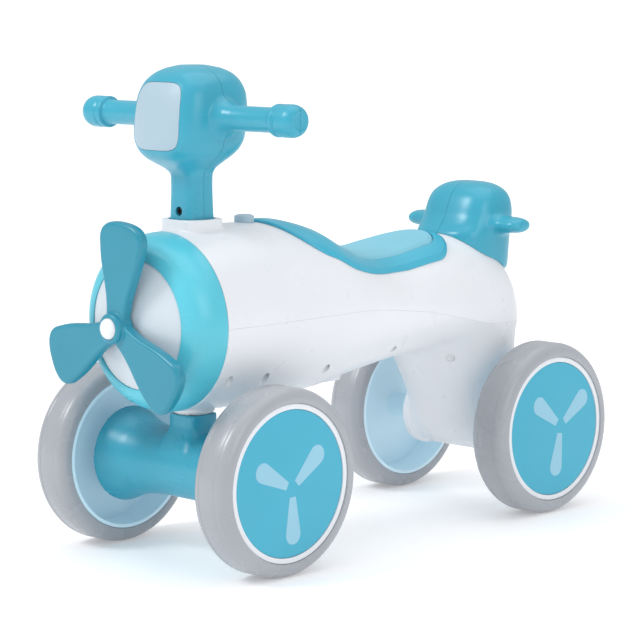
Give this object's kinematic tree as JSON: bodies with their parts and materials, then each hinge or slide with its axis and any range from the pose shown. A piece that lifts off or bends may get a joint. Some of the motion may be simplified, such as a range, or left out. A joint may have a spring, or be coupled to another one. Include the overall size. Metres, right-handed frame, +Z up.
{
  "type": "kids push car",
  "caption": "Toddler push-along ride-on shaped as a small plane, with a steering head, saddle, spinning propeller and wide soft wheels.",
  "frame": {"origin": "on the ground, under the middle of the whole bounding box", "axes": "-Y towards the nose, +X to the rider's left, +Z up"},
  "size_m": [0.2444, 0.5038, 0.3969],
  "materials": {
    "white_shell": "smooth satin gloss",
    "teal_shell": "satin",
    "seat_foam": "matte closed-cell foam",
    "soft_tread": "matte",
    "frosted_cover": "frosted",
    "bush_nylon": "matte",
    "zinc_steel": "zinc plated",
    "black_steel": "blackened",
    "sound_plastic": "matte",
    "circuit_board": "solder mask",
    "silicone": "matte"
  },
  "bodies": {
    "chassis": {"fuselage_upper_shell": "white_shell", "fuselage_lower_shell": "white_shell", "nose_cowl": "teal_shell", "nose_dome": "white_shell", "propeller_screw": "zinc_steel", "seat_shell": "teal_shell", "seat_pad": "seat_foam", "tail_left_shell": "teal_shell", "tail_right_shell": "teal_shell", "upper_steering_bush": "bush_nylon", "lower_steering_bush": "bush_nylon", "rear_axle": "zinc_steel", "rear_left_push_nut": "zinc_steel", "rear_right_push_nut": "zinc_steel", "sound_housing": "sound_plastic", "circuit_board": "circuit_board", "loudspeaker": "sound_plastic", "button_dome": "silicone", "shell_screw_1": "zinc_steel", "shell_screw_2": "zinc_steel", "shell_screw_3": "zinc_steel", "shell_screw_4": "zinc_steel", "shell_screw_5": "zinc_steel", "shell_screw_6": "zinc_steel", "shell_screw_7": "zinc_steel", "shell_screw_8": "zinc_steel", "shell_screw_9": "zinc_steel", "shell_screw_10": "zinc_steel", "tail_screw_left": "zinc_steel", "tail_screw_right": "zinc_steel"},
    "steering_assembly": {"front_yoke": "teal_shell", "steering_stem": "zinc_steel", "head_front_shell": "teal_shell", "head_rear_shell": "teal_shell", "face_panel": "frosted_cover", "stem_screw": "black_steel", "front_axle": "zinc_steel", "front_left_push_nut": "zinc_steel", "front_right_push_nut": "zinc_steel", "head_screw_left": "zinc_steel", "head_screw_right": "zinc_steel"},
    "propeller_rotor": {"propeller": "teal_shell", "propeller_cap": "white_shell"},
    "button_plunger": {"sound_button": "frosted_cover"},
    "front_left_wheel": {"front_left_tyre": "soft_tread", "front_left_rim": "white_shell", "front_left_disc": "teal_shell", "front_left_bush": "bush_nylon"},
    "front_right_wheel": {"front_right_tyre": "soft_tread", "front_right_rim": "white_shell", "front_right_disc": "teal_shell", "front_right_bush": "bush_nylon"},
    "rear_left_wheel": {"rear_left_tyre": "soft_tread", "rear_left_rim": "white_shell", "rear_left_disc": "teal_shell", "rear_left_bush": "bush_nylon"},
    "rear_right_wheel": {"rear_right_tyre": "soft_tread", "rear_right_rim": "white_shell", "rear_right_disc": "teal_shell", "rear_right_bush": "bush_nylon"}
  },
  "joints": [
    {"name": "steering_turn", "type": "hinge", "parent": "chassis", "child": "steering_assembly", "pos_m": [0, -0.1584, 0.35641], "axis": [0, 0, 1], "range_deg": [-20, 20]},
    {"name": "front_left_roll", "type": "hinge", "parent": "steering_assembly", "child": "front_left_wheel", "pos_m": [0.0947, -0.1584, 0.075], "axis": [1, 0, 0], "continuous": true},
    {"name": "front_right_roll", "type": "hinge", "parent": "steering_assembly", "child": "front_right_wheel", "pos_m": [-0.0947, -0.1584, 0.075], "axis": [1, 0, 0], "continuous": true},
    {"name": "rear_left_roll", "type": "hinge", "parent": "chassis", "child": "rear_left_wheel", "pos_m": [0.0857, 0.1769, 0.075], "axis": [1, 0, 0], "continuous": true},
    {"name": "rear_right_roll", "type": "hinge", "parent": "chassis", "child": "rear_right_wheel", "pos_m": [-0.0857, 0.1769, 0.075], "axis": [1, 0, 0], "continuous": true},
    {"name": "propeller_spin", "type": "hinge", "parent": "chassis", "child": "propeller_rotor", "pos_m": [0, -0.2325, 0.1946], "axis": [0, 1, 0], "continuous": true},
    {"name": "sound_button_press", "type": "slide", "parent": "chassis", "child": "button_plunger", "axis": [0, 0, -1], "range_m": [0, 0.0015], "stiffness_N_per_m": 400, "springref_m": -0.0005, "deforming": ["button_dome"]}
  ]
}
